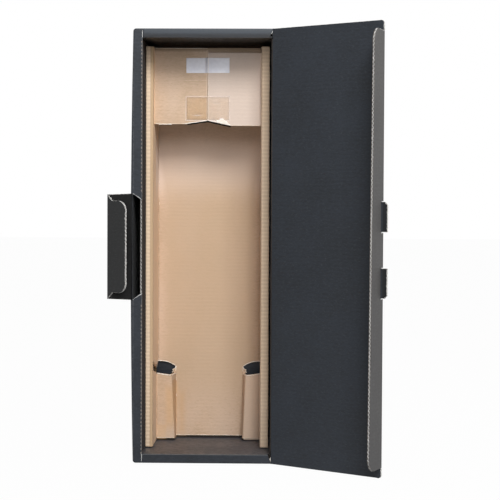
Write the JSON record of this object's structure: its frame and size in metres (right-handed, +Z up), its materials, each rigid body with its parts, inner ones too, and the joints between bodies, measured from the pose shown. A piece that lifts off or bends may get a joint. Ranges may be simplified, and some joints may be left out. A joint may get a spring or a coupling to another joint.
{
  "type": "bottle shipping box",
  "caption": "Tall corrugated board carton for a single bottle, with a hinged tuck-in lid, a lock flap and a folded kraft bottle cradle inside.",
  "frame": {"origin": "centre of the tray's bottom end face, which the box stands on", "axes": "+Z up along the box's length, -Y out of the open mouth, +X towards the wall that carries the lid"},
  "size_m": [0.2397, 0.1858, 0.38],
  "materials": {
    "box_board": "matte, dark grey printed board",
    "kraft_board": "matte, natural kraft",
    "clear_tape": "glossy clear film"
  },
  "bodies": {
    "tray": {"outer_box": "box_board", "bottle_cradle": "kraft_board", "tape_upper": "clear_tape", "tape_lower": "clear_tape"},
    "lid": {"lid": "box_board"},
    "tuck_flap": {"lid_tuck_flap": "box_board"},
    "lock_panel": {"lock_flap": "box_board"},
    "lock_tip": {"lock_flap_tip": "box_board"}
  },
  "joints": [
    {"name": "lid_hinge", "type": "hinge", "parent": "tray", "child": "lid", "pos_m": [0.06065, -0.04915, 0.19], "axis": [0, 0, 1], "range_deg": [-145.6, 34.4]},
    {"name": "lid_tuck_fold", "type": "hinge", "parent": "lid", "child": "tuck_flap", "pos_m": [0.15137, -0.11127, 0.19], "axis": [0, 0, 1], "range_deg": [-22.3, 5.4]},
    {"name": "lock_flap_hinge", "type": "hinge", "parent": "tray", "child": "lock_panel", "pos_m": [-0.06265, -0.05115, 0.19], "axis": [0, 0, 1], "range_deg": [-10, 180]},
    {"name": "lock_tip_fold", "type": "hinge", "parent": "lock_panel", "child": "lock_tip", "pos_m": [-0.08265, -0.05115, 0.19], "axis": [0, 0, 1], "range_deg": [-53.1, 3]}
  ],
  "couplings": [
    {"joint": "lid_tuck_fold", "follows": "lid_hinge", "ratio": 0.152},
    {"joint": "lock_tip_fold", "follows": "lock_flap_hinge", "ratio": -0.2944}
  ]
}
